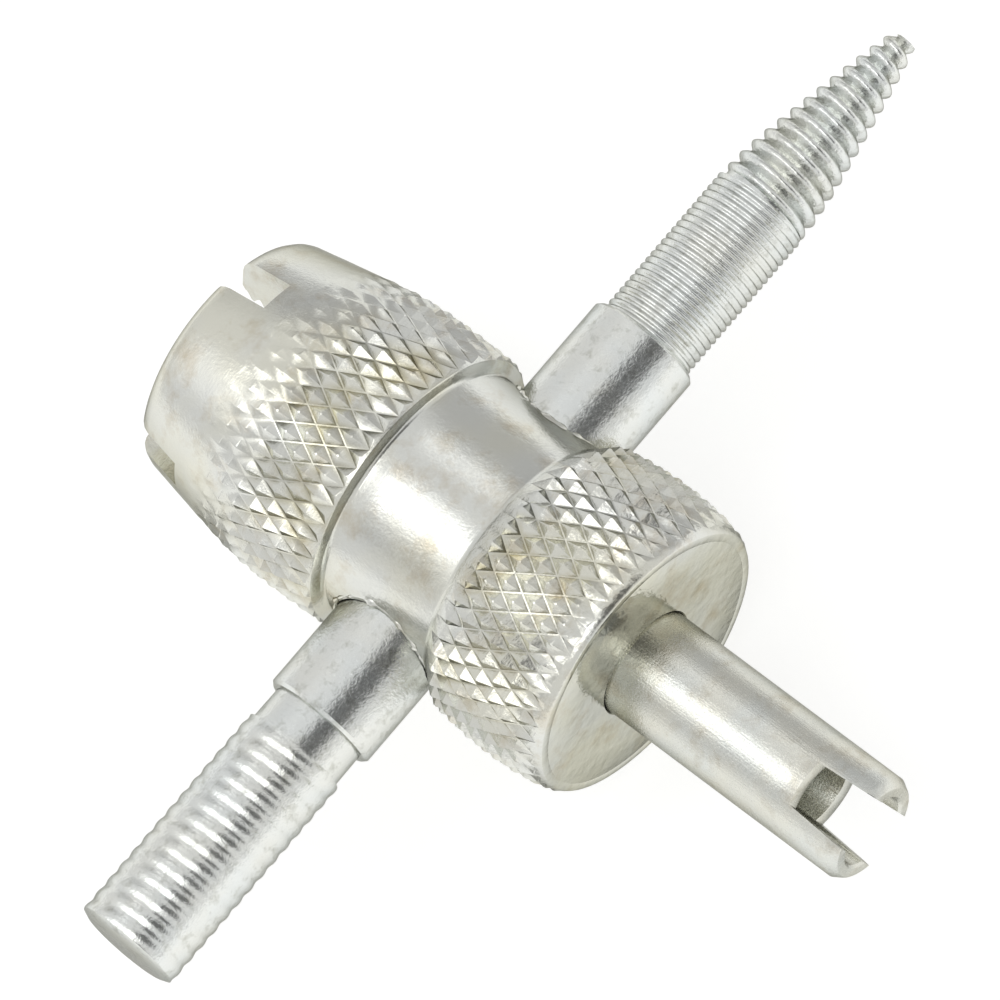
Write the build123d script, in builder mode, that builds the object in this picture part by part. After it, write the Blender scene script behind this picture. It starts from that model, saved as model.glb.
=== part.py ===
"""Four-way tyre valve tool: a knurled barrel with a thread die, a forked core wrench, a cross bar.

Frame, in millimetres: the origin is where the two axes cross. +Y runs along the barrel to the die,
-Y along the core wrench, +X along the bar to the extractor, -X to the tap, and +Z is up.
"""

import os
from math import atan, cos, degrees, radians, sin, tan

from build123d import *

# Barrel, whose axis is Y
front_face_reach = 9.8  # from the crossing to the face that the wrench comes out of
die_reach = 14.75  # from the crossing to the die's rim
waist_front_reach = 2.55
waist_rear_reach = 3.45
waist_radius = 6.25
front_grip_radius = 7.3  # over the knurl's points
front_grip_waist_radius = 7.0
front_grip_waist_bevel = 0.75  # along Y, from the waist up to the knurl
front_face_radius = 6.72
front_face_bevel = 0.5
rear_grip_radius = 7.15
rear_shoulder_radius = 6.95
rear_shoulder_bevel = 0.15
crown_length = 5.15  # of the rear grip, before its straight taper
crown_end_radius = 7.04
rim_radius = 5.83  # of the taper's sharp corner, before it is rounded
rim_round = 1.0

# Thread die in the barrel's rear end
die_minor_radius = 3.44
die_depth = 8.0
die_lead_in = 0.5
die_cuts = 2  # right across the rim, so each one leaves two chip slots
die_cut_width = 1.7
die_cut_depth = 2.75
die_cut_angle = 15.0  # of the first cut, from +Z towards +X

# Core wrench, in the barrel's front face
wrench_reach = 13.1  # how far it stands out of the face
wrench_radius = 2.6
wrench_shank_step = 0.25  # how much thinner it is where it is pressed in
wrench_shank_length = 4.8
wrench_bore_radius = 1.75
wrench_bore_depth = 8.9
wrench_slot_depth = 3.0
wrench_slot_root = 2.2
wrench_slot_mouth = 2.6
wrench_slot_angle = -12.0  # of the slot's open way, from +Z towards +X
wrench_tip_bevel = 0.45  # along Y
wrench_tip_land = 0.25  # how much the bevel takes off the radius
seam_bevel = 0.4  # of the wrench's hole, at the barrel's face

# Cross bar, whose axis is X
bar_radius = 2.7
tap_collar_reach = 10.7  # from the crossing to the collar's end
extractor_collar_reach = 11.3
collar_bevel = 0.15
neck_radius = 2.3
neck_length = 1.8
tap_length = 11.1
tap_radius = 2.5
tap_pitch = 0.8
tap_ridge = 0.16
tap_end_bevel = 0.35
fine_length = 8.0
fine_radius = 2.35
fine_pitch = 0.35
fine_ridge = 0.07
fine_lead = 0.3  # plain at each end of the fine thread
extractor_length = 9.6
extractor_radius = 2.34
extractor_tip_radius = 0.54
extractor_lead = 0.4  # plain at each end of the extractor's thread
extractor_pitch = 0.73
extractor_ridge = 0.24

press_clearance = 0.0  # the wrench and the bar are pressed in line to line
drill_point = 118.0  # included angle of a drilled hole's bottom
ridge_bite = 0.25  # share of its height that a thread's ridge is rooted in its core
ridge_foot = 0.7  # share of the pitch that a ridge covers at its foot
ridge_land = 0.25  # share of the pitch that is flat on a ridge's crest
ridge_over = 0.25  # share of its height that a ridge is made too tall by, and then turned down
clear_by = 1.0  # how far a cutter runs past what it cuts

front_face_y = -front_face_reach
tip_y = front_face_y - wrench_reach
wrench_shank_radius = wrench_radius - wrench_shank_step
tap_end_x = -(tap_collar_reach + neck_length + tap_length)
tap_start_x = -(tap_collar_reach + neck_length)
fine_end_x = extractor_collar_reach + fine_length
extractor_end_x = fine_end_x + extractor_length


def drill_depth(radius):
    """Depth of the conical bottom that a drill of this radius leaves."""
    return radius / tan(radians(drill_point / 2))


def across(angle, y):
    """A plane square to the barrel's axis, with its x direction at this angle from +Z towards +X."""
    turn = radians(angle)
    return Plane((0, y, 0), x_dir=(sin(turn), 0, cos(turn)), z_dir=(0, 1, 0))


def ridge(start, length, crest, end_crest, pitch, height, left_hand=False):
    """A thread's helical ridge about X, made a little too tall and then turned down to its crest."""
    slope = (end_crest - crest) / length
    with BuildLine() as route:
        Helix(
            pitch, length, crest - height, (start, 0, 0), (1, 0, 0), degrees(atan(slope)), left_hand
        )
    path = route.line
    foot, land = pitch * ridge_foot / 2, pitch * ridge_land / 2
    bottom, bottom_half = -height * ridge_bite, foot + (foot - land) * ridge_bite
    top, top_half = height * (1 + ridge_over), land - (foot - land) * ridge_over
    outward = Vector(0, (path @ 0).Y, (path @ 0).Z)
    with BuildPart() as thread:
        with BuildSketch(Plane(path @ 0, x_dir=outward, z_dir=path % 0)):
            with BuildLine():
                Polyline(
                    (bottom, -bottom_half),
                    (top, -top_half),
                    (top, top_half),
                    (bottom, bottom_half),
                    close=True,
                )
            make_face()
        sweep(path=path, is_frenet=True)
        with BuildSketch(Plane.XY):
            with BuildLine():
                Polyline(
                    (start - pitch, 0),
                    (start - pitch, crest - slope * pitch),
                    (start + length + pitch, end_crest + slope * pitch),
                    (start + length + pitch, 0),
                    close=True,
                )
            make_face()
        revolve(axis=Axis.X, mode=Mode.INTERSECT)
    return thread.part


# Barrel: one turned piece, waisted where the bar goes through
waist_knurl_y = -waist_front_reach - front_grip_waist_bevel
face_knurl_y = front_face_y + front_face_bevel
crown_end_y = waist_rear_reach + crown_length
die_floor_y = die_reach - die_depth
shank_end_y = front_face_y + wrench_shank_length

with BuildPart() as barrel:
    with BuildSketch(Plane.XY):
        with BuildLine():
            Polyline(
                (0, die_reach),
                (0, front_face_y),
                (front_face_radius, front_face_y),
                (front_grip_waist_radius, face_knurl_y),
            )
            ThreePointArc(
                (front_grip_waist_radius, face_knurl_y),
                (front_grip_radius, (face_knurl_y + waist_knurl_y) / 2),
                (front_grip_waist_radius, waist_knurl_y),
            )
            Polyline(
                (front_grip_waist_radius, waist_knurl_y),
                (waist_radius, -waist_front_reach),
                (waist_radius, waist_rear_reach),
                (rear_shoulder_radius, waist_rear_reach),
                (crown_end_radius, waist_rear_reach + rear_shoulder_bevel),
            )
            ThreePointArc(
                (crown_end_radius, waist_rear_reach + rear_shoulder_bevel),
                (rear_grip_radius, waist_rear_reach + (rear_shoulder_bevel + crown_length) / 2),
                (crown_end_radius, crown_end_y),
            )
            Polyline((crown_end_radius, crown_end_y), (rim_radius, die_reach), (0, die_reach))
        make_face()
    revolve(axis=Axis.Y)
    fillet(barrel.edges().filter_by(GeomType.CIRCLE).sort_by(Axis.Y)[-1], rim_round)

    # the die's hole, with its lead-in and its drilled bottom
    with BuildSketch(Plane.XY):
        with BuildLine():
            Polyline(
                (0, die_reach + clear_by),
                (0, die_floor_y - drill_depth(die_minor_radius)),
                (die_minor_radius, die_floor_y),
                (die_minor_radius, die_reach - die_lead_in),
                (die_minor_radius + die_lead_in, die_reach),
                (die_minor_radius + die_lead_in, die_reach + clear_by),
                close=True,
            )
        make_face()
    revolve(axis=Axis.Y, mode=Mode.SUBTRACT)
    for cut in range(die_cuts):
        with BuildSketch(across(die_cut_angle + 180 * cut / die_cuts, die_reach)):
            Rectangle(2 * (rear_grip_radius + clear_by), die_cut_width)
        extrude(amount=-die_cut_depth, mode=Mode.SUBTRACT)

    # the hole for the wrench's shank, opened a little at its mouth, and the hole for the bar
    shank_hole_radius = wrench_shank_radius + press_clearance
    with BuildSketch(Plane.XY):
        with BuildLine():
            Polyline(
                (0, front_face_y - clear_by),
                (0, shank_end_y),
                (shank_hole_radius, shank_end_y),
                (shank_hole_radius, front_face_y + seam_bevel),
                (shank_hole_radius + seam_bevel, front_face_y),
                (shank_hole_radius + seam_bevel, front_face_y - clear_by),
                close=True,
            )
        make_face()
    revolve(axis=Axis.Y, mode=Mode.SUBTRACT)
    with BuildSketch(Plane.YZ):
        Circle(bar_radius + press_clearance)
    extrude(amount=front_grip_radius + clear_by, both=True, mode=Mode.SUBTRACT)

# Core wrench: a bored shaft whose tip is slotted into two prongs
with BuildPart() as core_wrench:
    with BuildSketch(Plane.XY):
        with BuildLine():
            Polyline(
                (0, tip_y),
                (wrench_radius - wrench_tip_land, tip_y),
                (wrench_radius, tip_y + wrench_tip_bevel),
                (wrench_radius, front_face_y),
                (wrench_shank_radius, front_face_y),
                (wrench_shank_radius, shank_end_y),
                (0, shank_end_y),
                close=True,
            )
        make_face()
    revolve(axis=Axis.Y)
    with BuildSketch(Plane.XY):
        with BuildLine():
            Polyline(
                (0, tip_y - clear_by),
                (wrench_bore_radius, tip_y - clear_by),
                (wrench_bore_radius, tip_y + wrench_bore_depth),
                (0, tip_y + wrench_bore_depth + drill_depth(wrench_bore_radius)),
                close=True,
            )
        make_face()
    revolve(axis=Axis.Y, mode=Mode.SUBTRACT)

    # the slot opens towards its mouth, and its flanks stay straight past the tip
    flare = (wrench_slot_mouth - wrench_slot_root) / 2 / wrench_slot_depth
    outer_half = wrench_slot_mouth / 2 + flare * clear_by
    slot_root_y = tip_y + wrench_slot_depth
    slot_turn = radians(wrench_slot_angle)
    slot_plane = Plane(
        (0, 0, 0), x_dir=(cos(slot_turn), 0, -sin(slot_turn)), z_dir=(sin(slot_turn), 0, cos(slot_turn))
    )
    with BuildSketch(slot_plane):
        with BuildLine():
            Polyline(
                (-outer_half, tip_y - clear_by),
                (outer_half, tip_y - clear_by),
                (wrench_slot_root / 2, slot_root_y),
                (-wrench_slot_root / 2, slot_root_y),
                close=True,
            )
        make_face()
    extrude(amount=wrench_radius + clear_by, both=True, mode=Mode.SUBTRACT)

# Cross bar: one rod right through the waist, with a tool at each end
tap_root, fine_root = tap_radius - tap_ridge, fine_radius - fine_ridge
extractor_root, extractor_tip_root = (
    extractor_radius - extractor_ridge,
    extractor_tip_radius - extractor_ridge,
)

with BuildPart() as cross_bar:
    with BuildSketch(Plane.XY):
        with BuildLine():
            Polyline(
                (tap_end_x, 0),
                (tap_end_x, tap_root),
                (tap_start_x, tap_root),
                (tap_start_x, neck_radius),
                (-tap_collar_reach, neck_radius),
                (-tap_collar_reach, bar_radius - collar_bevel),
                (-tap_collar_reach + collar_bevel, bar_radius),
                (extractor_collar_reach - collar_bevel, bar_radius),
                (extractor_collar_reach, bar_radius - collar_bevel),
                (extractor_collar_reach, fine_root),
                (fine_end_x, fine_root),
                (fine_end_x, extractor_root),
                (extractor_end_x, extractor_tip_root),
                (extractor_end_x, 0),
                close=True,
            )
        make_face()
    revolve(axis=Axis.X)
    add(
        ridge(
            tap_end_x - tap_pitch,
            tap_length + tap_pitch / 2,
            tap_radius,
            tap_radius,
            tap_pitch,
            tap_ridge,
        )
    )
    add(
        ridge(
            extractor_collar_reach + fine_lead,
            fine_length - 2 * fine_lead,
            fine_radius,
            fine_radius,
            fine_pitch,
            fine_ridge,
        )
    )
    add(
        ridge(
            fine_end_x + extractor_lead,
            extractor_length - 2 * extractor_lead,
            extractor_radius,
            extractor_tip_radius,
            extractor_pitch,
            extractor_ridge,
            left_hand=True,
        )
    )

    # face the tap's end off, past where its ridge starts, and bevel it
    ridge_start_x = tap_end_x - 2 * tap_pitch
    with BuildSketch(Plane.XY):
        with BuildLine():
            Polyline(
                (ridge_start_x, 0),
                (ridge_start_x, tap_radius + clear_by),
                (tap_end_x + tap_end_bevel + clear_by, tap_radius + clear_by),
                (tap_end_x, tap_radius - tap_end_bevel),
                (tap_end_x, 0),
                close=True,
            )
        make_face()
    revolve(axis=Axis.X, mode=Mode.SUBTRACT)

os.makedirs("parts", exist_ok=True)
for name, piece in {"barrel": barrel, "core_wrench": core_wrench, "cross_bar": cross_bar}.items():
    piece.part.label = name
    export_step(piece.part, f"parts/{name}.step")
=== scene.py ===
import math

import bmesh
import bpy
from mathutils import Matrix, Vector, noise


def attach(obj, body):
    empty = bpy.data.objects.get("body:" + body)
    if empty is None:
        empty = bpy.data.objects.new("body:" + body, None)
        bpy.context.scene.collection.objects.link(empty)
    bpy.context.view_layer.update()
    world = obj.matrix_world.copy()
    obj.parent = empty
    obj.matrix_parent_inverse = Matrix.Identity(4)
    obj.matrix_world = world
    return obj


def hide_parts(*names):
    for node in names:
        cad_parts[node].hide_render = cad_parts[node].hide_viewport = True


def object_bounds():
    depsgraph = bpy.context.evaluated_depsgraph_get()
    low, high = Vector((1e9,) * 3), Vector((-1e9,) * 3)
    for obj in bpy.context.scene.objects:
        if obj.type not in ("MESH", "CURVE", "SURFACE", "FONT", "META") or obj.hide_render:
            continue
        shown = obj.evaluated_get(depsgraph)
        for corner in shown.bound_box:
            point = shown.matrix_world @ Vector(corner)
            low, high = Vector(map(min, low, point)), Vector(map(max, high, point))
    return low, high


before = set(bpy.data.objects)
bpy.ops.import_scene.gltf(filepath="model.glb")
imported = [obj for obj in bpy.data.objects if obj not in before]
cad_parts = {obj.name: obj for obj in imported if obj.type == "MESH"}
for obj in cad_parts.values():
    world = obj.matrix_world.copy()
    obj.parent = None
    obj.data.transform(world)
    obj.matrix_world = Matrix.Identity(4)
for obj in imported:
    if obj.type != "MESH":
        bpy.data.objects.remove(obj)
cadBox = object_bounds()
mm = 0.001
fullTurn = 2 * math.pi
samePlace = 0.01 * mm  # how far off a vertex may be and still count as being at a place
mergeGap = 0.002 * mm  # vertices nearer to each other than this become one


def startFresh():
    # an operator acts on everything selected, and the frame's own pieces come in selected
    if bpy.context.mode != "OBJECT":
        bpy.ops.object.mode_set(mode="OBJECT")
    bpy.ops.object.select_all(action="DESELECT")


def openUp(piece):
    startFresh()
    piece.select_set(True)
    bpy.context.view_layer.objects.active = piece
    bpy.ops.object.mode_set(mode="EDIT")


def pick(piece, kind, wanted):
    # selects the vertices, edges or faces of the open piece that pass a test
    bpy.ops.mesh.select_mode(type=kind)
    bpy.ops.mesh.select_all(action="DESELECT")
    mesh = bmesh.from_edit_mesh(piece.data)
    for item in {"VERT": mesh.verts, "EDGE": mesh.edges, "FACE": mesh.faces}[kind]:
        if wanted(item):
            item.select_set(True)
    mesh.select_flush_mode()
    bmesh.update_edit_mesh(piece.data)


def drawLine(name, points):
    # one vertex, extruded from point to point, in millimetres, and left open in edit mode
    startFresh()
    bpy.ops.mesh.primitive_plane_add(size=mm, location=(0, 0, 0))
    line = bpy.context.object
    line.name = name
    bpy.ops.object.mode_set(mode="EDIT")
    bpy.ops.mesh.select_mode(type="VERT")
    bpy.ops.mesh.select_all(action="SELECT")
    bpy.ops.mesh.merge(type="CENTER")
    bpy.ops.transform.translate(value=Vector(points[0]) * mm)
    for here, there in zip(points, points[1:]):
        step = (Vector(there) - Vector(here)) * mm
        bpy.ops.mesh.extrude_vertices_move(TRANSFORM_OT_translate={"value": step})
    return line


def lathe(line, axis, steps):
    # turns the open line right round its axis and closes the seam and the poles
    bpy.ops.mesh.select_all(action="SELECT")
    bpy.ops.mesh.spin(steps=steps, angle=fullTurn, center=(0, 0, 0), axis=axis)
    bpy.ops.mesh.select_all(action="SELECT")
    bpy.ops.mesh.remove_doubles(threshold=mergeGap)
    bpy.ops.mesh.normals_make_consistent(inside=False)
    bpy.ops.mesh.select_all(action="DESELECT")
    return line


def applyModifier(piece, kind, **settings):
    startFresh()
    piece.select_set(True)
    bpy.context.view_layer.objects.active = piece
    added = piece.modifiers.new(kind.title(), kind)
    for key, value in settings.items():
        setattr(added, key, value)
    bpy.ops.object.modifier_apply(modifier=added.name)
    return piece


def cutWith(piece, cutter, how="DIFFERENCE"):
    applyModifier(piece, "BOOLEAN", object=cutter, operation=how, solver="EXACT")
    bpy.data.objects.remove(cutter)
    return piece


def finishPiece(piece, name, node, material, smoothTo):
    # edges sharper than smoothTo, in degrees, stay crisp
    startFresh()
    piece.name = piece.data.name = name
    piece.select_set(True)
    bpy.context.view_layer.objects.active = piece
    bpy.ops.object.transform_apply(location=True, rotation=True, scale=True)
    bpy.ops.object.shade_smooth_by_angle(angle=math.radians(smoothTo))
    piece.data.materials.clear()
    piece.data.materials.append(material)
    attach(piece, "root")
    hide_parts(node)
    print(name, "faces", len(piece.data.polygons))


def linear(hexColour):
    # sRGB hex to the linear values the shaders want
    parts = [int(hexColour[i:i + 2], 16) / 255 for i in (1, 3, 5)]
    return [c / 12.92 if c <= 0.04045 else ((c + 0.055) / 1.055) ** 2.4 for c in parts] + [1]


def addNode(tree, kind, inputs=None, **settings):
    # one node, its settings, and its inputs as plain values or as links from other nodes' sockets
    node = tree.nodes.new(kind)
    for key, value in settings.items():
        setattr(node, key, value)
    for key, value in (inputs or {}).items():
        if isinstance(value, bpy.types.NodeSocket):
            tree.links.new(value, node.inputs[key])
        else:
            node.inputs[key].default_value = value
    return node


seamGap = 0.004 * mm  # a screwed outline's turns meet within this


def makeThread(name, thread):
    # one pitch of the thread's outline, screwed along X, then cut to length and closed
    pitch, depth, crest = thread["pitch"], thread["depth"], thread["crest"]
    flatShare, roundSteps = thread["flat"], thread["roundSteps"]
    points = []
    for i in range(roundSteps + 1):
        share = i / roundSteps
        wave = abs(2 * share - 1)  # 1 in the grooves at both ends of the pitch, 0 at the crest
        lift = 1 - min(1, max(0, (wave - flatShare) / (1 - 2 * flatShare)))
        lift = lift * lift * (3 - 2 * lift) * thread["soft"] + lift * (1 - thread["soft"])
        lift = lift ** thread["narrowness"]
        points.append((thread["from"] - pitch + pitch * share, 0, crest - depth * (1 - lift)))
    line = drawLine(name, points)
    bpy.ops.object.mode_set(mode="OBJECT")
    spareTurns = 2  # cut off again at the ends
    turns = math.ceil((thread["to"] - thread["from"]) / pitch) + spareTurns
    steps = thread["steps"]
    applyModifier(
        line, "SCREW", axis="X", angle=-fullTurn if thread["leftHand"] else fullTurn,
        screw_offset=pitch * mm, iterations=turns, steps=steps, render_steps=steps,
        use_merge_vertices=True, merge_threshold=seamGap,
    )
    if "taper" in thread:
        least = 0.03 * mm
        for vertex in line.data.vertices:
            radius = math.hypot(vertex.co.y, vertex.co.z)
            tapered = crestAt(thread["taper"], vertex.co.x / mm) - crest
            wanted = max(least, radius + tapered * mm)
            vertex.co.y *= wanted / radius
            vertex.co.z *= wanted / radius
    openUp(line)
    cutSlack = 0.0001 * mm  # small, or the cut takes vertices beside it along
    bpy.ops.mesh.select_mode(type="VERT")
    bpy.ops.mesh.select_all(action="SELECT")
    bpy.ops.mesh.remove_doubles(threshold=seamGap)
    for place, outer in ((thread["from"], False), (thread["to"], True)):
        bpy.ops.mesh.select_all(action="SELECT")
        bpy.ops.mesh.bisect(
            plane_co=(place * mm, 0, 0), plane_no=(1, 0, 0),
            clear_inner=not outer, clear_outer=outer, threshold=cutSlack,
        )
        pick(line, "EDGE", lambda e: e.is_boundary
             and all(abs(v.co.x - place * mm) < 10 * cutSlack for v in e.verts))
        bpy.ops.mesh.edge_face_add()
    bpy.ops.mesh.select_all(action="SELECT")
    bpy.ops.mesh.remove_doubles(threshold=mergeGap)
    bpy.ops.mesh.normals_make_consistent(inside=False)
    bpy.ops.object.mode_set(mode="OBJECT")
    return line


barrelSizes = {  # lengths along Y and radii, in millimetres
    "columns": 88,  # two for each of the 44 grooves that lean each way
    "knurlRows": {  # along Y: over the points, and the groove bottoms under them
        -9.40: (6.95, 6.79), -8.57: (7.14, 6.82), -7.74: (7.24, 6.89), -6.91: (7.29, 6.92),
        -6.08: (7.29, 6.92), -5.25: (7.25, 6.88), -4.42: (7.18, 6.80), -3.59: (7.08, 6.64),
        -2.78: (6.74, 6.38),
        3.68: (7.09, 6.85), 4.57: (7.12, 6.80), 5.46: (7.14, 6.79), 6.35: (7.145, 6.79),
        7.24: (7.13, 6.78), 8.13: (7.07, 6.75), 9.02: (6.96, 6.70), 9.91: (6.79, 6.64),
        10.80: (6.60, 6.57),
    },
    "grooveWidth": 0.09,
    "pointFlat": 0.08,  # how much is worn off each diamond's point
    "frontFace": -9.8,
    "wrenchSeat": 2.42,  # the hole that the wrench is pressed into, and its floor
    "seatFloor": -4.93,
    "rearRim": 14.75,
    "dieBore": 3.44,
    "slotWidth": 1.7,
    "slotDepth": 2.75,
    "slotTurns": (20.0, 106.0),  # each cut goes right across, so it leaves two slots
    "waist": 6.25,
    "barHole": 2.76,
    "burrReach": 2.88,  # of the metal thrown up round the hole, from the bar's axis
    "burrThick": 0.17,
    "burrLump": 0.45,
    "clearAcross": 18,  # longer than the barrel is wide, for what cuts right through it
}
dieThread = {  # "flat" is the share of a pitch at crest and root, "soft" how round the flanks are
    "from": 6.9, "to": 15.2, "pitch": 0.794, "crest": 3.80, "depth": 0.40, "flat": 0.10,
    "roundSteps": 8, "soft": 0.2, "narrowness": 1.0, "steps": 64, "leftHand": False,
}


def makeBurr(sizes, end):
    # a thin lumpy ring that lies on the waist's round side, about the bar's hole
    startFresh()
    bpy.ops.mesh.primitive_torus_add(
        major_segments=128, minor_segments=8, major_radius=sizes["burrReach"] * mm,
        minor_radius=sizes["burrThick"] * mm, rotation=(0, math.pi / 2, 0))
    burr = bpy.context.object
    bpy.ops.object.transform_apply(location=True, rotation=True, scale=True)
    for vertex in burr.data.vertices:
        across = Vector((0, vertex.co.y, vertex.co.z))
        middle = across.normalized() * sizes["burrReach"] * mm
        lump = noise.noise((middle + Vector((end, 0, 0))) / (sizes["burrLump"] * mm))
        swell = min(1.0, max(0.12, 0.45 + 1.3 * lump))  # from a thin thread to a whole crumb
        sunk = 0.02 * mm
        place = middle + (vertex.co - middle) * swell
        place.x += end * (math.sqrt((sizes["waist"] * mm) ** 2 - place.z ** 2) - sunk)
        vertex.co = place
    return burr


def makeBarrel(sizes):
    columns = sizes["columns"]
    rows = sizes["knurlRows"]
    front = sorted(y for y in rows if y < 0)
    rear = sorted(y for y in rows if y > 0)
    face, rim, waist = sizes["frontFace"], sizes["rearRim"], sizes["waist"]
    seat, seatFloor, dieBore = sizes["wrenchSeat"], sizes["seatFloor"], sizes["dieBore"]
    # the wrench's seat, then the front face with the fine ring turned into it, and its worn edge
    outline = [(seatFloor, 0), (seatFloor, seat), (face + 0.3, seat), (face, 2.70), (face, 4.6),
               (face, 6.24), (face + 0.013, 6.27), (face, 6.30), (face, 6.62),
               (face + 0.03, 6.68), (face + 0.14, 6.76)]
    outline += [(y, rows[y][1]) for y in front]
    # the waist, and the step up to the rear grip
    outline += [(-2.6, waist + 0.02)] + [(y, waist) for y in (-2.5, -1.2, 0.3, 1.8, 3.2)]
    outline += [(3.32, 6.31), (3.40, 6.45), (3.45, 6.82), (3.50, 6.90)]
    outline += [(y, rows[y][1]) for y in rear]
    # the plain cone behind the knurl, its rounded rim, and the die's bore with its drilled floor
    outline += [(11.6, 6.44), (12.4, 6.29), (13.2, 6.13), (13.94, 5.99), (14.25, 5.87),
                (14.53, 5.64), (14.69, 5.35), (rim, 5.0), (rim, 3.98), (14.3, 3.50),
                (14.1, dieBore), (6.75, dieBore), (4.68, 0)]
    barrel = drawLine("barrelWork", [(0, y, r) for y, r in outline])
    lathe(barrel, (0, 1, 0), columns)

    # every other vertex of the knurled rows is a diamond's point, and is pushed out
    def column(vertex):
        return round(math.atan2(vertex.co.x, vertex.co.z) / (fullTurn / columns))

    def reach(vertex):
        return math.hypot(vertex.co.x, vertex.co.z)

    underKnurl = 6.4 * mm  # keeps the picks to the outer skin, clear of the bores

    def outside(vertex):
        return reach(vertex) > underKnurl

    for bank in (front, rear):
        for number, y in enumerate(bank):
            pick(barrel, "VERT", lambda v: abs(v.co.y - y * mm) < samePlace and outside(v)
                 and (column(v) + number) % 2 == 1)
            grow = rows[y][0] / rows[y][1]
            bpy.ops.transform.resize(value=(grow, 1, grow), center_override=(0, y * mm, 0))

    def inBank(y):
        return any(bank[0] * mm - samePlace < y < bank[-1] * mm + samePlace
                   for bank in (front, rear))

    # the shorter diagonal of each grid face runs along a groove
    pick(barrel, "FACE", lambda f: all(inBank(v.co.y) and outside(v) for v in f.verts))
    bpy.ops.mesh.quads_convert_to_tris(quad_method="SHORTEST_DIAGONAL", ngon_method="BEAUTY")

    def isGroove(edge):
        # a slanting edge: from one row to the next, and from one column to the next
        a, b = edge.verts
        rowApart = 0.3 * mm
        return (inBank(a.co.y) and inBank(b.co.y) and outside(a) and outside(b)
                and abs(a.co.y - b.co.y) > rowApart and column(a) != column(b))

    pick(barrel, "EDGE", isGroove)
    bpy.ops.mesh.bevel(offset=sizes["grooveWidth"] * mm / 2, segments=1, affect="EDGES",
                       clamp_overlap=True)

    # the diamonds' points are worn to small flats
    pick(barrel, "VERT", lambda v: any(
        abs(v.co.y - y * mm) < samePlace and reach(v) > rows[y][0] * mm - samePlace
        for y in rows))
    bpy.ops.mesh.bevel(offset=sizes["pointFlat"] * mm, segments=1, affect="VERTICES",
                       clamp_overlap=True)
    bpy.ops.object.mode_set(mode="OBJECT")
    print("knurled grip done, faces", len(barrel.data.polygons))

    # the hole for the cross bar, and the chip slots across the die's rim
    startFresh()
    bpy.ops.mesh.primitive_cylinder_add(
        vertices=96, radius=sizes["barHole"] * mm, depth=sizes["clearAcross"] * mm,
        rotation=(0, math.pi / 2, 0))
    cutWith(barrel, bpy.context.object)
    for end in (-1, 1):
        cutWith(barrel, makeBurr(sizes, end), "UNION")
    cutterLength = 6
    for degrees in sizes["slotTurns"]:
        startFresh()
        bpy.ops.mesh.primitive_cube_add(
            size=1, location=(0, (rim - sizes["slotDepth"] + cutterLength / 2) * mm, 0),
            rotation=(0, math.radians(degrees), 0),
            scale=(sizes["slotWidth"] * mm, cutterLength * mm, sizes["clearAcross"] * mm))
        cutWith(barrel, bpy.context.object)

    # the die's thread, cut into the bore's wall
    tap = makeThread("dieCutter", dieThread)
    startFresh()
    tap.select_set(True)
    bpy.context.view_layer.objects.active = tap
    tap.rotation_euler = (0, 0, math.pi / 2)
    bpy.ops.object.transform_apply(location=True, rotation=True, scale=True)
    cutWith(barrel, tap)
    print("die cut, faces", len(barrel.data.polygons))
    return barrel


wrenchSizes = {
    "radius": 2.6,
    "shank": 2.35,  # the part that is pressed into the barrel
    "shankEnd": -5.0,
    "bore": 1.75,
    "boreEnd": -14.0,
    "tip": -22.9,
    "slotRoot": 2.2,
    "slotMouth": 2.6,
    "slotDepth": 3.0,
    "slotTurn": -12.0,
    "edge": 0.05,
}


def makeWrench(sizes):
    r, tip, bore = sizes["radius"], sizes["tip"], sizes["bore"]
    outline = [(sizes["boreEnd"] + 1.1, 0), (sizes["boreEnd"], bore), (tip + 0.12, bore),
               (tip, bore + 0.1), (tip, r - 0.3), (tip + 0.06, r - 0.23), (tip + 0.45, r),
               (-19.0, r), (-15.0, r), (-11.0, r), (-9.75, r), (-9.7, sizes["shank"]),
               (sizes["shankEnd"], sizes["shank"]), (sizes["shankEnd"], 0)]
    wrench = drawLine("wrenchWork", [(0, y, x) for y, x in outline])
    lathe(wrench, (0, 1, 0), 96)
    bpy.ops.object.mode_set(mode="OBJECT")

    # a slot right across the tip, a little wider at its mouth, makes the two prongs
    startFresh()
    depth, root = sizes["slotDepth"], sizes["slotRoot"]
    past, clearAcross = 2, 8  # how far the cutter stands out of the tip, and its width
    bpy.ops.mesh.primitive_cube_add(
        size=1, location=(0, (tip + (depth - past) / 2) * mm, 0),
        scale=(root * mm, (depth + past) * mm, clearAcross * mm))
    slot = bpy.context.object
    openUp(slot)
    pick(slot, "FACE", lambda f: f.normal.y < -0.9)
    flare = (sizes["slotMouth"] - root) / depth * (depth + past)
    bpy.ops.transform.resize(value=((root + flare) / root, 1, 1))
    bpy.ops.object.mode_set(mode="OBJECT")
    slot.rotation_euler = (0, math.radians(sizes["slotTurn"]), 0)
    cutWith(wrench, slot)
    applyModifier(wrench, "BEVEL", width=sizes["edge"] * mm, segments=2, limit_method="ANGLE",
                  angle_limit=math.radians(50), use_clamp_overlap=True)
    print("prongs cut, faces", len(wrench.data.polygons))
    return wrench


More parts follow.
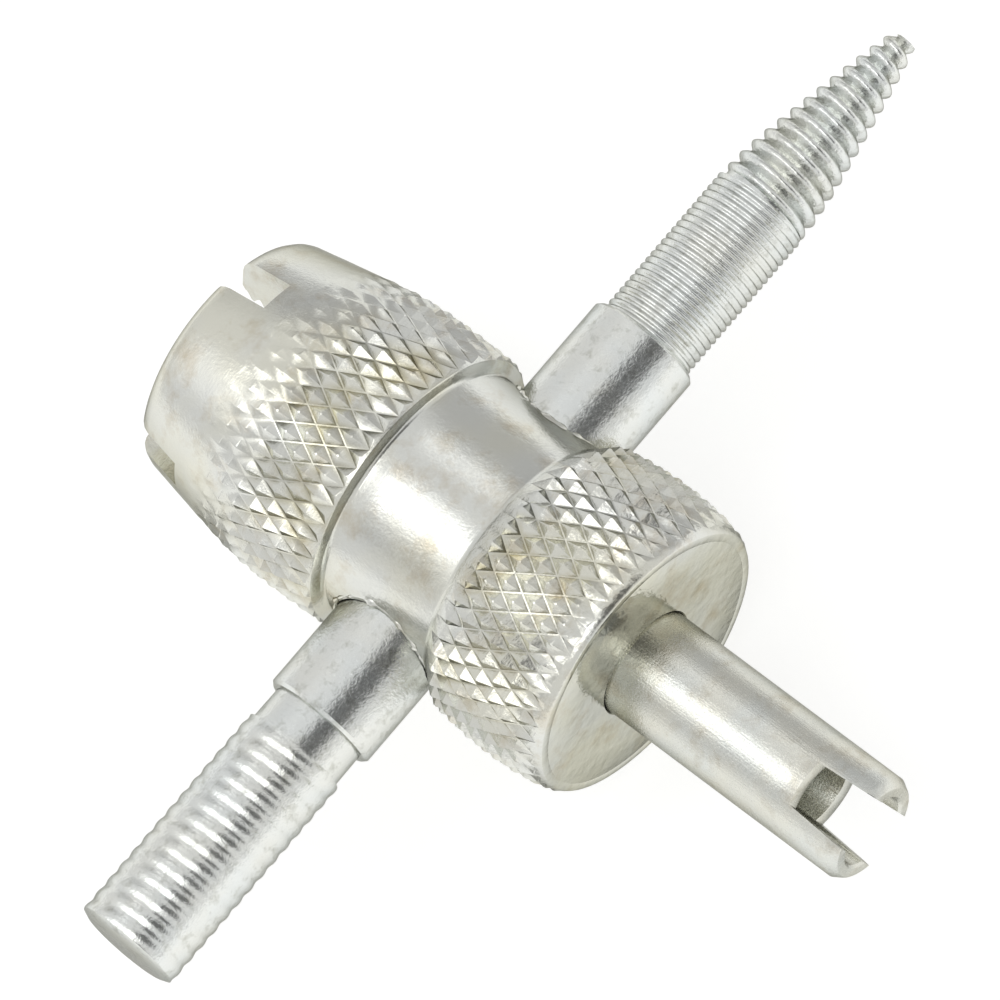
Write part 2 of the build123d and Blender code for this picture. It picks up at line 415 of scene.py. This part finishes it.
barSizes = {
    "radius": 2.7,
    "collars": (-10.7, 11.3),  # where the full thickness ends, towards the tap and the extractor
    "edge": 0.15,
    "neck": 2.3,
    "core": 2.1,  # under the fine thread
    "tapEdge": 0.45,
}
tapThread = {
    "from": -23.6, "to": -12.35, "pitch": 0.8, "crest": 2.5, "depth": 0.07, "flat": 0.06,
    "roundSteps": 12, "soft": 1.0, "narrowness": 0.8, "steps": 72, "leftHand": False,
}
fineThread = {
    "from": 11.25, "to": 19.1, "pitch": 0.35, "crest": 2.35, "depth": 0.10, "flat": 0.08,
    "roundSteps": 8, "soft": 0.9, "narrowness": 0.9, "steps": 64, "leftHand": False,
}
extractorThread = {
    "from": 19.2, "to": 28.88, "pitch": 0.73, "crest": 2.34, "depth": 0.33, "flat": 0.08,
    "roundSteps": 10, "soft": 0.6, "narrowness": 0.62, "steps": 64, "leftHand": True,
    "taper": ((19.2, 2.30), (20.0, 2.29), (21.35, 2.14), (22.5, 1.95), (23.7, 1.72),
              (25.2, 1.44), (26.7, 1.15), (27.7, 0.93), (28.4, 0.76), (28.9, 0.62)),
}


def crestAt(spots, x):
    # how far out a tapered thread's crest stands, from its list of places and radii
    if x <= spots[0][0]:
        return spots[0][1]
    for (x0, r0), (x1, r1) in zip(spots, spots[1:]):
        if x <= x1:
            return r0 + (r1 - r0) * (x - x0) / (x1 - x0)
    return spots[-1][1]


def makeBar(sizes):
    r, edge, neck, core = sizes["radius"], sizes["edge"], sizes["neck"], sizes["core"]
    tapSide, farSide = sizes["collars"]
    outline = [(tapSide - 2.1, 0), (tapSide - 2.1, neck - 0.1), (tapSide - 1.8, neck + 0.02),
               (tapSide - 0.02, neck), (tapSide, neck + 0.04), (tapSide, r - edge),
               (tapSide + edge, r), (-6, r), (0, r), (6, r), (farSide - edge, r),
               (farSide, r - edge), (farSide, core), (19.5, core), (19.7, core - 0.2), (19.7, 0)]
    bar = drawLine("barWork", [(x, 0, r) for x, r in outline])
    lathe(bar, (1, 0, 0), 96)
    bpy.ops.object.mode_set(mode="OBJECT")
    for thread in (tapThread, fineThread, extractorThread):
        ridge = makeThread("threadWork", thread)
        if thread is tapThread:
            # the tap keeps only what lies in a round blank with a bevelled end
            startFresh()
            length = 12  # past the tap's inner end
            bpy.ops.mesh.primitive_cylinder_add(
                vertices=96, radius=(thread["crest"] + 0.1) * mm, depth=length * mm,
                location=((thread["from"] + length / 2) * mm, 0, 0),
                rotation=(0, math.pi / 2, 0))
            blank = bpy.context.object
            openUp(blank)
            pick(blank, "FACE", lambda f: f.normal.z < -0.9)
            bpy.ops.mesh.bevel(offset=sizes["tapEdge"] * mm, segments=2)
            bpy.ops.object.mode_set(mode="OBJECT")
            cutWith(ridge, blank, "INTERSECT")
        cutWith(bar, ridge, "UNION")
        print("thread joined, faces", len(bar.data.polygons))
    return bar


def plate(name, sizes):
    # plated steel: pale clouds of two tones with brown stains, grain in the plate, and tool
    # marks under it; real grain and marks are finer, and are drawn coarser so that they show
    material = bpy.data.materials.new(name)
    material.use_nodes = True
    tree = material.node_tree
    shader = tree.nodes["Principled BSDF"]
    shader.inputs["Metallic"].default_value = 1
    shader.inputs["Specular Tint"].default_value = linear(sizes["edgeTone"])  # darker at the rims
    place = addNode(tree, "ShaderNodeTexCoord").outputs["Object"]
    parts = addNode(tree, "ShaderNodeSeparateXYZ", {0: place}).outputs
    along, side = (parts["Y"], parts["X"]) if sizes["axis"] == "Y" else (parts["X"], parts["Y"])
    turn = addNode(tree, "ShaderNodeMath", {0: side, 1: parts["Z"]},
                   operation="ARCTAN2").outputs[0]

    # tool marks: fine lines round the turned piece, or along the drawn one
    turnAmount = addNode(tree, "ShaderNodeMath", {0: turn, 1: sizes["markTurn"] * mm},
                         operation="MULTIPLY").outputs[0]
    alongAmount = addNode(tree, "ShaderNodeMath", {0: along, 1: sizes["markAlong"]},
                          operation="MULTIPLY").outputs[0]
    unrolled = addNode(tree, "ShaderNodeCombineXYZ", {0: turnAmount, 1: alongAmount}).outputs[0]
    marks = addNode(tree, "ShaderNodeTexNoise", {
        "Vector": unrolled, "Scale": 1 / (sizes["markWidth"] * mm), "Detail": 3.0,
        "Roughness": 0.6}).outputs["Fac"]
    grain = addNode(tree, "ShaderNodeTexNoise", {
        "Vector": place, "Scale": 1 / (sizes["grain"] * mm), "Detail": 3.0,
        "Roughness": 0.6}).outputs["Fac"]
    dents = addNode(tree, "ShaderNodeTexNoise", {
        "Vector": place, "Scale": 1 / (sizes["dents"] * mm), "Detail": 2.0}).outputs["Fac"]

    # dents grow deeper towards one end of the piece, where it is cut or handled
    startAt, endAt = sizes["roughFrom"]
    handled = addNode(tree, "ShaderNodeMapRange", {
        "Value": along, "From Min": startAt * mm, "From Max": endAt * mm,
        "To Min": sizes["dentShare"], "To Max": 1.0}).outputs["Result"]
    dentHeight = addNode(tree, "ShaderNodeMath", {0: dents, 1: handled},
                         operation="MULTIPLY").outputs[0]
    bumped = None
    for height, depth in ((marks, "markDepth"), (grain, "grainDepth"), (dentHeight, "dentDepth")):
        inputs = {"Height": height, "Strength": 1.0, "Distance": sizes[depth] * mm}
        if bumped:
            inputs["Normal"] = bumped
        bumped = addNode(tree, "ShaderNodeBump", inputs).outputs[0]
    tree.links.new(bumped, shader.inputs["Normal"])

    clouds = addNode(tree, "ShaderNodeTexNoise", {
        "Vector": place, "Scale": 1 / (sizes["clouds"] * mm), "Detail": 2.0}).outputs["Fac"]
    cloudMix = addNode(tree, "ShaderNodeMapRange", {
        "Value": clouds, "From Min": 0.38, "From Max": 0.62}).outputs["Result"]
    tones = addNode(tree, "ShaderNodeMix", {
        "Factor": cloudMix, "A": linear(sizes["cool"]), "B": linear(sizes["warm"])},
        data_type="RGBA").outputs["Result"]
    spots = addNode(tree, "ShaderNodeTexNoise", {
        "Vector": place, "Scale": 1 / (sizes["stainSize"] * mm), "Detail": 4.0,
        "Roughness": 0.65}).outputs["Fac"]
    spotMix = addNode(tree, "ShaderNodeMapRange", {
        "Value": spots, "From Min": 0.52, "From Max": 0.76, "To Max": sizes["stainAmount"],
    }).outputs["Result"]
    colour = addNode(tree, "ShaderNodeMix", {
        "Factor": spotMix, "A": tones, "B": linear(sizes["stain"])},
        data_type="RGBA").outputs["Result"]
    if "grooveTone" in sizes:
        # the knurl's grooves are tinted olive, more strongly in some places than in others; the
        # tint lies below grooveReach, and fades out towards the ends of both knurled banks
        middle, half = sizes["grooveBank"]
        top, bottom = sizes["grooveReach"]
        flat = addNode(tree, "ShaderNodeCombineXYZ", {0: parts["X"], 1: parts["Z"]}).outputs[0]
        reach = addNode(tree, "ShaderNodeVectorMath", {0: flat},
                        operation="LENGTH").outputs["Value"]
        sunk = addNode(tree, "ShaderNodeMapRange", {
            "Value": reach, "From Min": top * mm, "From Max": bottom * mm,
            "To Max": sizes["grooveAmount"]}).outputs["Result"]
        far = addNode(tree, "ShaderNodeMath", {0: along}, operation="ABSOLUTE").outputs[0]
        far = addNode(tree, "ShaderNodeMath", {0: far, 1: middle * mm},
                      operation="SUBTRACT").outputs[0]
        far = addNode(tree, "ShaderNodeMath", {0: far}, operation="ABSOLUTE").outputs[0]
        inside = addNode(tree, "ShaderNodeMapRange", {
            "Value": far, "From Min": half * mm, "From Max": half * mm / 2}).outputs["Result"]
        grooveTint = addNode(tree, "ShaderNodeMath", {0: sunk, 1: inside},
                       operation="MULTIPLY").outputs[0]
        grooveTint = addNode(tree, "ShaderNodeMath", {0: grooveTint, 1: cloudMix},
                       operation="MULTIPLY").outputs[0]
        colour = addNode(tree, "ShaderNodeMix", {
            "Factor": grooveTint, "A": colour, "B": linear(sizes["grooveTone"])},
            data_type="RGBA").outputs["Result"]
    dullness = addNode(tree, "ShaderNodeMapRange", {
        "Value": grain, "From Min": 0.35, "From Max": 0.65,
        "To Min": sizes["roughness"][0], "To Max": sizes["roughness"][1]}).outputs["Result"]
    if "polishedShadedEnd" in sizes:
        # the machined front face is nearly a mirror, and its colour is darkened by a painted
        # shade that stands in for the shadowed floor it mirrors
        polishedAndShaded = addNode(tree, "ShaderNodeMath", {0: along, 1: sizes["polishedShadedEnd"] * mm},
                           operation="LESS_THAN").outputs[0]
        shadedFace = addNode(tree, "ShaderNodeMix", {"A": colour, "B": linear(sizes["faceShadeTone"]),
                                                "Factor": 1.0},
                        data_type="RGBA", blend_type="MULTIPLY").outputs["Result"]
        colour = addNode(tree, "ShaderNodeMix", {"Factor": polishedAndShaded, "A": colour, "B": shadedFace},
                         data_type="RGBA").outputs["Result"]
        dullness = addNode(tree, "ShaderNodeMix", {
            "Factor": polishedAndShaded, "A": dullness, "B": sizes["polishedRoughness"]}).outputs["Result"]
    tree.links.new(colour, shader.inputs["Base Color"])
    tree.links.new(dullness, shader.inputs["Roughness"])
    return material


# lengths in millimetres; "markTurn" and "markAlong" say how fast the marks change round the
# piece and along it, so a small markTurn gives rings and a small markAlong gives long lines
# nickel over turned steel: warm grey, satin, with fine rings round it and faint brown stains
nickelPlate = plate("nickelPlateTurned", {
    "axis": "Y", "markTurn": 0.35, "markAlong": 1.0, "markWidth": 0.06, "markDepth": 0.004,
    "grain": 0.12, "grainDepth": 0.008, "dents": 0.5, "dentDepth": 0.035,
    "roughFrom": (-2.6, -3.4), "dentShare": 0.35,
    "edgeTone": "#A2A29C", "clouds": 4.0, "cool": "#DFE0DB", "warm": "#E2E1D5",
    "stainSize": 1.8, "stain": "#B5A27E", "stainAmount": 0.45, "roughness": (0.15, 0.27),
    "grooveTone": "#A39864", "grooveBank": (5.9, 3.2), "grooveReach": (6.98, 6.82),
    # the front face's tone is a painted shade, for the shadowed floor it mirrors; its low
    # roughness is its real finish
    "grooveAmount": 0.45, "polishedShadedEnd": -9.78, "faceShadeTone": "#F6F6F3",
    "polishedRoughness": 0.09,
})
# zinc over drawn tube: bright, with faint lines along it
zincTube = plate("zincPlateDrawn", {
    "axis": "Y", "markTurn": 2.6, "markAlong": 0.04, "markWidth": 0.07, "markDepth": 0.010,
    "grain": 0.1, "grainDepth": 0.012, "dents": 0.6, "dentDepth": 0.03,
    "roughFrom": (-17.0, -21.0), "dentShare": 0.4,
    "edgeTone": "#A2A29C", "clouds": 3.0, "cool": "#DCDED9", "warm": "#E0DFD5",
    "stainSize": 1.2, "stain": "#A09070", "stainAmount": 0.4, "roughness": (0.19, 0.30),
})
# dull zinc over rolled bar: cool grey, uneven and finely pitted
zincBar = plate("zincPlateRolled", {
    "axis": "X", "markTurn": 2.7, "markAlong": 0.3, "markWidth": 0.1, "markDepth": 0.003,
    "grain": 0.11, "grainDepth": 0.014, "dents": 0.3, "dentDepth": 0.04,
    "roughFrom": (18.2, 20.5), "dentShare": 0.4,
    "edgeTone": "#A2A29C", "clouds": 2.5, "cool": "#E6E9E7", "warm": "#E8E9E4",
    "stainSize": 0.6, "stain": "#83826A", "stainAmount": 0.4, "roughness": (0.14, 0.27),
})

barrel = makeBarrel(barrelSizes)
finishPiece(barrel, "barrel_body", "barrel", nickelPlate, 35)
wrench = makeWrench(wrenchSizes)
finishPiece(wrench, "core_wrench_shaft", "core_wrench", zincTube, 35)
bar = makeBar(barSizes)
finishPiece(bar, "cross_bar_rod", "cross_bar", zincBar, 40)


# the floor glows a little, so that it is as white as a lit table
floorSizes = {"width": 3000, "gap": 0.02, "tone": "#B4B4B2", "roughness": 0.9, "glow": 0.70}
startFresh()
bpy.ops.mesh.primitive_plane_add(size=floorSizes["width"] * mm,
                                 location=(0, 0, cadBox[0][2] - floorSizes["gap"] * mm))
floor = bpy.context.object
floor.name = "floor"
paper = bpy.data.materials.new("whitePaper")
paper.use_nodes = True
sheet = paper.node_tree.nodes["Principled BSDF"].inputs
sheet["Base Color"].default_value = linear(floorSizes["tone"])
sheet["Roughness"].default_value = floorSizes["roughness"]
sheet["Emission Color"].default_value = linear("#FFFFFF")
sheet["Emission Strength"].default_value = floorSizes["glow"]
floor.data.materials.append(paper)

# the studio: an even pale tent with bright panels overhead and a dark side by the camera
tentSizes = {
    "base": 0.78,
    "patches": (  # direction, the degrees it is full within and gone beyond, brightness added
        ((-0.36, 0.38, 0.86), 3, 17, 1.2),
        ((-0.34, -0.24, 0.88), 5, 18, 1.5),
        ((-0.5, 0.6, 0.62), 5, 22, 0.35),
        ((0.45, 0.38, 0.81), 3, 12, 0.45),
        ((0.5, 0.75, 0.45), 8, 22, -0.15),
        ((0.19, -0.66, 0.73), 18, 27, -0.64),
        ((0.9, 0.3, 0.3), 15, 40, -0.26),
        ((-0.78, 0.38, 0.5), 5, 16, -0.22),
    ),
}
world = bpy.data.worlds.new("studioTent")
bpy.context.scene.world = world
world.use_nodes = True
tree = world.node_tree
where = addNode(tree, "ShaderNodeTexCoord").outputs["Generated"]
total = addNode(tree, "ShaderNodeValue").outputs[0]
total.default_value = tentSizes["base"]
for direction, inner, outer, amount in tentSizes["patches"]:
    facing = addNode(tree, "ShaderNodeVectorMath", {0: where, 1: Vector(direction).normalized()},
                     operation="DOT_PRODUCT").outputs["Value"]
    near = addNode(tree, "ShaderNodeMapRange", {
        "Value": facing, "From Min": math.cos(math.radians(outer)),
        "From Max": math.cos(math.radians(inner)), "To Min": 0.0, "To Max": amount,
    }, interpolation_type="SMOOTHSTEP").outputs["Result"]
    total = addNode(tree, "ShaderNodeMath", {0: total, 1: near}, operation="ADD").outputs[0]
tree.links.new(total, tree.nodes["Background"].inputs["Strength"])
tree.nodes["Background"].inputs["Color"].default_value = (1, 1, 1, 1)

panelSizes = {"place": (-250, 200, 600), "size": (300, 400), "watts": 0.1}
panelPlace = Vector(panelSizes["place"]) * mm
bpy.ops.object.light_add(type="AREA", location=panelPlace)
panel = bpy.context.object
panel.name = "topPanel"
panel.data.shape = "RECTANGLE"
panel.data.size, panel.data.size_y = [side * mm for side in panelSizes["size"]]
panel.data.energy = panelSizes["watts"]
panel.rotation_euler = panelPlace.to_track_quat("Z", "Y").to_euler()

cameraSizes = {
    "distance": 800,
    "across": 43.3,  # how much of the object's plane the view takes in
    "toward": (-0.162, -0.384, 0.909),
    "upright": (0.749, 0.552, 0.3665),
    "aim": (0.97, 1.61),
    "sensor": 36,
    "clip": (0.01, 10),
}
back = Vector(cameraSizes["toward"]).normalized()
right = Vector(cameraSizes["upright"]).cross(back).normalized()
upright = back.cross(right)
aim = (right * cameraSizes["aim"][0] + upright * cameraSizes["aim"][1]) * mm
bpy.ops.object.camera_add(location=aim + back * cameraSizes["distance"] * mm)
camera = bpy.context.object
camera.rotation_euler = Matrix((right, upright, back)).transposed().to_euler()
camera.data.sensor_width = cameraSizes["sensor"]
camera.data.lens = cameraSizes["sensor"] * cameraSizes["distance"] / cameraSizes["across"]
camera.data.clip_start, camera.data.clip_end = cameraSizes["clip"]
bpy.context.scene.camera = camera
bpy.context.scene.view_settings.view_transform = "Standard"
print("stage and camera done")
